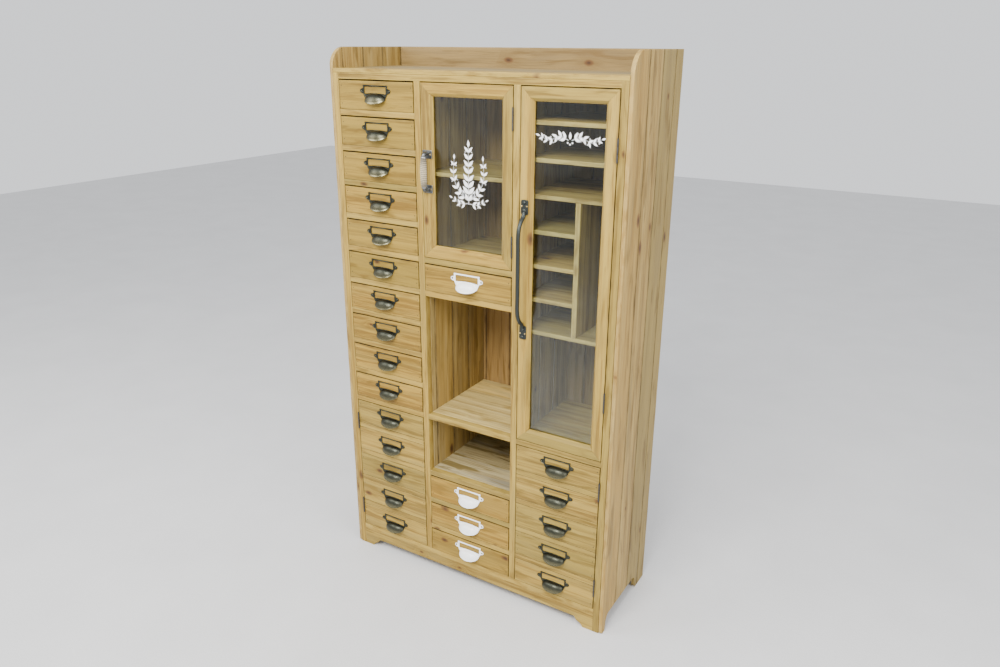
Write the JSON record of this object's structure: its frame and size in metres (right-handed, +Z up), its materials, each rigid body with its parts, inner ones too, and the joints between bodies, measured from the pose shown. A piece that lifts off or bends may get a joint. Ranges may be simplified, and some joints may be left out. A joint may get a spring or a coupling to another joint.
{
  "type": "apothecary cabinet",
  "caption": "Tall wooden pharmacy cabinet: small drawers with cup pulls, glazed doors, open niches, cupboard doors dressed as drawers and a low gallery round the top.",
  "frame": {"origin": "on the floor, at the centre of the box that holds the cabinet with its handles", "axes": "+Z up, the front with its drawers and doors faces -Y, +X runs to the right of someone facing the front"},
  "size_m": [1, 0.3999, 1.763],
  "materials": {
    "front_wood": "waxed reclaimed fir",
    "side_wood": "worn waxed fir",
    "inside_wood": "dull, darker fir",
    "drawer_wood": "waxed reclaimed fir",
    "pewter": "aged pewter patina over brass",
    "enamel": "white enamel",
    "iron": "blue-grey forged iron",
    "rope": "natural cord on iron brackets",
    "glass": "clear old glass"
  },
  "bodies": {
    "carcass": {"face_frame": "front_wood", "front_apron": "front_wood", "top_board": "front_wood", "bottom_board": "front_wood", "side_panel_left": "side_wood", "side_panel_right": "side_wood", "gallery_board": "side_wood", "divider_left": "inside_wood", "divider_right": "inside_wood", "back_panel": "inside_wood", "left_cupboard_top": "inside_wood", "middle_cupboard_shelf": "inside_wood", "middle_cupboard_floor": "inside_wood", "niche_top": "inside_wood", "niche_shelf": "inside_wood", "lower_niche_floor": "inside_wood", "right_cupboard_floor": "inside_wood", "pigeonhole_rack": "inside_wood", "right_cupboard_shelf_1": "inside_wood", "right_cupboard_shelf_2": "inside_wood", "right_cupboard_shelf_3": "inside_wood", "right_cupboard_shelf_4": "inside_wood", "drawer_runners_left": "inside_wood", "drawer_runners_middle": "inside_wood"},
    "sliding_left_01": {"drawer_left_01": "drawer_wood", "pull_left_01": "pewter"},
    "sliding_left_02": {"drawer_left_02": "drawer_wood", "pull_left_02": "pewter"},
    "sliding_left_03": {"drawer_left_03": "drawer_wood", "pull_left_03": "pewter"},
    "sliding_left_04": {"drawer_left_04": "drawer_wood", "pull_left_04": "pewter"},
    "sliding_left_05": {"drawer_left_05": "drawer_wood", "pull_left_05": "pewter"},
    "sliding_left_06": {"drawer_left_06": "drawer_wood", "pull_left_06": "pewter"},
    "sliding_left_07": {"drawer_left_07": "drawer_wood", "pull_left_07": "pewter"},
    "sliding_left_08": {"drawer_left_08": "drawer_wood", "pull_left_08": "pewter"},
    "sliding_left_09": {"drawer_left_09": "drawer_wood", "pull_left_09": "pewter"},
    "sliding_left_10": {"drawer_left_10": "drawer_wood", "pull_left_10": "pewter"},
    "sliding_middle_01": {"drawer_middle_01": "drawer_wood", "pull_middle_01": "enamel"},
    "sliding_middle_02": {"drawer_middle_02": "drawer_wood", "pull_middle_02": "enamel"},
    "sliding_middle_03": {"drawer_middle_03": "drawer_wood", "pull_middle_03": "enamel"},
    "sliding_middle_04": {"drawer_middle_04": "drawer_wood", "pull_middle_04": "enamel"},
    "middle_door": {"middle_door_frame": "front_wood", "middle_door_pane": "glass", "rope_handle": "rope"},
    "tall_door": {"tall_door_frame": "front_wood", "tall_door_pane": "glass", "iron_handle": "iron"},
    "left_cupboard_door": {"cupboard_door_left": "front_wood"},
    "right_cupboard_door": {"cupboard_door_right": "front_wood"}
  },
  "joints": [
    {"name": "slide_left_01", "type": "slide", "parent": "carcass", "child": "sliding_left_01", "axis": [0, -1, 0], "range_m": [0, 0.21]},
    {"name": "slide_left_02", "type": "slide", "parent": "carcass", "child": "sliding_left_02", "axis": [0, -1, 0], "range_m": [0, 0.21]},
    {"name": "slide_left_03", "type": "slide", "parent": "carcass", "child": "sliding_left_03", "axis": [0, -1, 0], "range_m": [0, 0.21]},
    {"name": "slide_left_04", "type": "slide", "parent": "carcass", "child": "sliding_left_04", "axis": [0, -1, 0], "range_m": [0, 0.21]},
    {"name": "slide_left_05", "type": "slide", "parent": "carcass", "child": "sliding_left_05", "axis": [0, -1, 0], "range_m": [0, 0.21]},
    {"name": "slide_left_06", "type": "slide", "parent": "carcass", "child": "sliding_left_06", "axis": [0, -1, 0], "range_m": [0, 0.21]},
    {"name": "slide_left_07", "type": "slide", "parent": "carcass", "child": "sliding_left_07", "axis": [0, -1, 0], "range_m": [0, 0.21]},
    {"name": "slide_left_08", "type": "slide", "parent": "carcass", "child": "sliding_left_08", "axis": [0, -1, 0], "range_m": [0, 0.21]},
    {"name": "slide_left_09", "type": "slide", "parent": "carcass", "child": "sliding_left_09", "axis": [0, -1, 0], "range_m": [0, 0.21]},
    {"name": "slide_left_10", "type": "slide", "parent": "carcass", "child": "sliding_left_10", "axis": [0, -1, 0], "range_m": [0, 0.21]},
    {"name": "slide_middle_01", "type": "slide", "parent": "carcass", "child": "sliding_middle_01", "axis": [0, -1, 0], "range_m": [0, 0.21]},
    {"name": "slide_middle_02", "type": "slide", "parent": "carcass", "child": "sliding_middle_02", "axis": [0, -1, 0], "range_m": [0, 0.21]},
    {"name": "slide_middle_03", "type": "slide", "parent": "carcass", "child": "sliding_middle_03", "axis": [0, -1, 0], "range_m": [0, 0.21]},
    {"name": "slide_middle_04", "type": "slide", "parent": "carcass", "child": "sliding_middle_04", "axis": [0, -1, 0], "range_m": [0, 0.21]},
    {"name": "middle_door_hinge", "type": "hinge", "parent": "carcass", "child": "middle_door", "pos_m": [0.1546, -0.1589, 1.411], "axis": [0, 0, 1], "range_deg": [0, 105]},
    {"name": "tall_door_hinge", "type": "hinge", "parent": "carcass", "child": "tall_door", "pos_m": [0.4661, -0.1589, 1.142], "axis": [0, 0, 1], "range_deg": [0, 110]},
    {"name": "left_cupboard_door_hinge", "type": "hinge", "parent": "carcass", "child": "left_cupboard_door", "pos_m": [-0.4661, -0.1589, 0.339], "axis": [0, 0, 1], "range_deg": [-110, 0]},
    {"name": "right_cupboard_door_hinge", "type": "hinge", "parent": "carcass", "child": "right_cupboard_door", "pos_m": [0.4661, -0.1589, 0.339], "axis": [0, 0, 1], "range_deg": [0, 110]}
  ]
}
